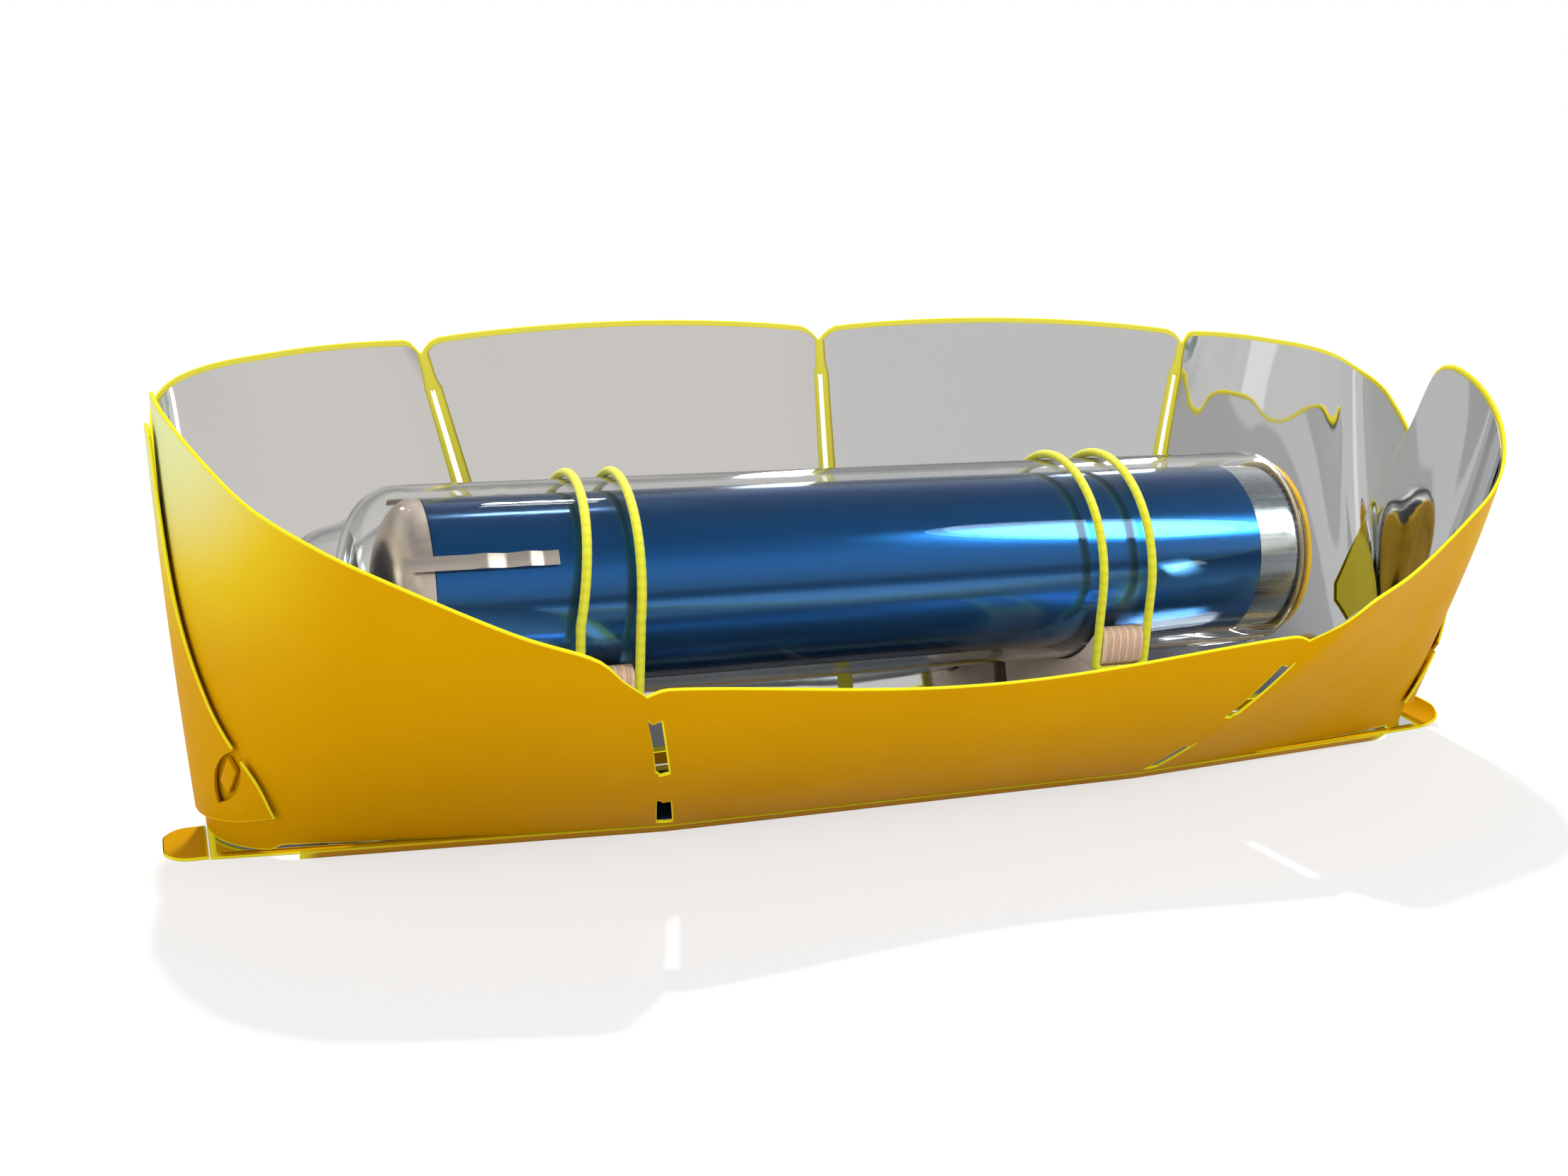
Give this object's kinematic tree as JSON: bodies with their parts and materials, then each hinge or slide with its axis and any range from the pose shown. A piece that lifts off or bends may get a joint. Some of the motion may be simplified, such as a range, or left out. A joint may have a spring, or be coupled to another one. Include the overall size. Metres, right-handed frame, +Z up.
{
  "type": "portable solar oven",
  "caption": "Folding mirrored trough that focuses sunlight on an evacuated glass cooking tube held by plywood saddles and elastic cord, with a stoppered food tray.",
  "frame": {"origin": "on the floor under the middle of the cooking tube, on the underside of the base strip", "axes": "+Z up, +X along the tube towards its stopper, +Y towards the tall back wall"},
  "size_m": [0.4754, 0.1724, 0.1486],
  "materials": {
    "yellow_sheet": "semi-matt golden yellow plastic sheet with brighter cut edges",
    "mirror_film": "silvered plastic film, slightly wavy",
    "clear_glass": "clear borosilicate glass",
    "absorber_blue": "glossy deep blue selective coating",
    "spring_steel": "thin polished spring steel",
    "getter_silver": "silvered getter spot inside the glass",
    "tray_steel": "brushed stainless steel",
    "stopper_orange": "matt orange-yellow silicone",
    "plywood": "bare beech plywood with darker plies",
    "elastic_lime": "braided lime yellow elastic cord"
  },
  "bodies": {
    "base": {"base_strip": "yellow_sheet", "base_mirror": "mirror_film", "front_spine": "yellow_sheet", "back_spine": "yellow_sheet"},
    "front_wall": {"front_centre_panel": "yellow_sheet", "front_centre_mirror": "mirror_film", "front_end_panel_left": "yellow_sheet", "front_end_panel_right": "yellow_sheet", "front_end_mirror_left": "mirror_film", "front_end_mirror_right": "mirror_film", "lock_tab_left": "yellow_sheet", "lock_tab_right": "yellow_sheet"},
    "back_wall": {"back_inner_panel_left": "yellow_sheet", "back_inner_panel_right": "yellow_sheet", "back_inner_mirror_left": "mirror_film", "back_inner_mirror_right": "mirror_film", "back_end_panel_left": "yellow_sheet", "back_end_panel_right": "yellow_sheet", "back_end_mirror_left": "mirror_film", "back_end_mirror_right": "mirror_film"},
    "flap_left": {"lock_flap_left": "yellow_sheet"},
    "flap_right": {"lock_flap_right": "yellow_sheet"},
    "tongue_left": {"tongue_left": "yellow_sheet"},
    "tongue_right": {"tongue_right": "yellow_sheet"},
    "stand": {"saddle_left": "plywood", "saddle_right": "plywood", "elastic_loop_left": "elastic_lime", "elastic_loop_right": "elastic_lime"},
    "tube": {"outer_glass": "clear_glass", "inner_glass": "clear_glass", "absorber_coating": "absorber_blue", "support_cup": "spring_steel", "support_arm_1": "spring_steel", "support_arm_2": "spring_steel", "support_arm_3": "spring_steel", "support_arm_4": "spring_steel", "getter_mirror": "getter_silver", "seal_nib": "clear_glass"},
    "tray": {"stopper": "stopper_orange", "tray": "tray_steel", "tray_rod": "tray_steel", "tray_collar": "tray_steel"}
  },
  "joints": [
    {"name": "front_wall_fold", "type": "hinge", "parent": "base", "child": "front_wall", "pos_m": [0, -0.0311, 0.004], "axis": [1, 0, 0], "range_deg": [0, 35]},
    {"name": "back_wall_fold", "type": "hinge", "parent": "base", "child": "back_wall", "pos_m": [0, 0.0306, 0.004], "axis": [-1, 0, 0], "range_deg": [0, 35]},
    {"name": "flap_left_swing", "type": "hinge", "parent": "back_wall", "child": "flap_left", "pos_m": [-0.22816, 0.01433, 0.00995], "axis": [0.067, -0.12, -0.9905], "range_deg": [0, 105]},
    {"name": "flap_right_swing", "type": "hinge", "parent": "back_wall", "child": "flap_right", "pos_m": [0.22816, 0.01433, 0.00995], "axis": [0.067, 0.12, 0.9905], "range_deg": [0, 105]},
    {"name": "tongue_left_fold", "type": "hinge", "parent": "base", "child": "tongue_left", "pos_m": [-0.2255, 0, 0.001], "axis": [0, 1, 0], "range_deg": [0, 60]},
    {"name": "tongue_right_fold", "type": "hinge", "parent": "base", "child": "tongue_right", "pos_m": [0.2255, 0, 0.001], "axis": [0, -1, 0], "range_deg": [0, 20]},
    {"name": "stand_lift", "type": "slide", "parent": "base", "child": "stand", "axis": [0, 0, 1], "range_m": [0, 0.16]},
    {"name": "tube_turn", "type": "hinge", "parent": "stand", "child": "tube", "pos_m": [0, 0, 0.0754], "axis": [1, 0, 0], "range_deg": [-90, 90]},
    {"name": "tray_pull", "type": "slide", "parent": "tube", "child": "tray", "axis": [1, 0, 0], "range_m": [0, 0.045]}
  ],
  "couplings": [
    {"joint": "back_wall_fold", "follows": "front_wall_fold", "ratio": 1},
    {"joint": "flap_left_swing", "follows": "front_wall_fold", "ratio": 3},
    {"joint": "flap_right_swing", "follows": "front_wall_fold", "ratio": 3}
  ]
}
